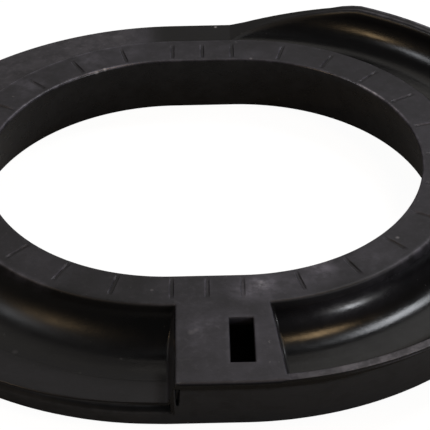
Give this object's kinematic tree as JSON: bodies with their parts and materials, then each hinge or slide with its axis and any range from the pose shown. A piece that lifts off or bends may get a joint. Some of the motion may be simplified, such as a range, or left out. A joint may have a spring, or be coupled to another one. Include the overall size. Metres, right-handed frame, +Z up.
{
  "type": "coil spring insulator",
  "caption": "Oval ring of black moulded rubber: a trough for the spring's wire, a lip that ends in a ramp, a slotted stop block, and short slits round the bore.",
  "frame": {"origin": "middle of the footprint, on the flat underside", "axes": "+X along the longer side of the oval, to the right of the stop block; -Y towards the stop block; +Z up out of the trough"},
  "size_m": [0.1622, 0.1476, 0.016],
  "materials": {
    "rubber": "satin, glossy in the trough, dusty grey on the top faces"
  },
  "bodies": {
    "root": {"spring_insulator": "rubber"}
  },
  "joints": []
}
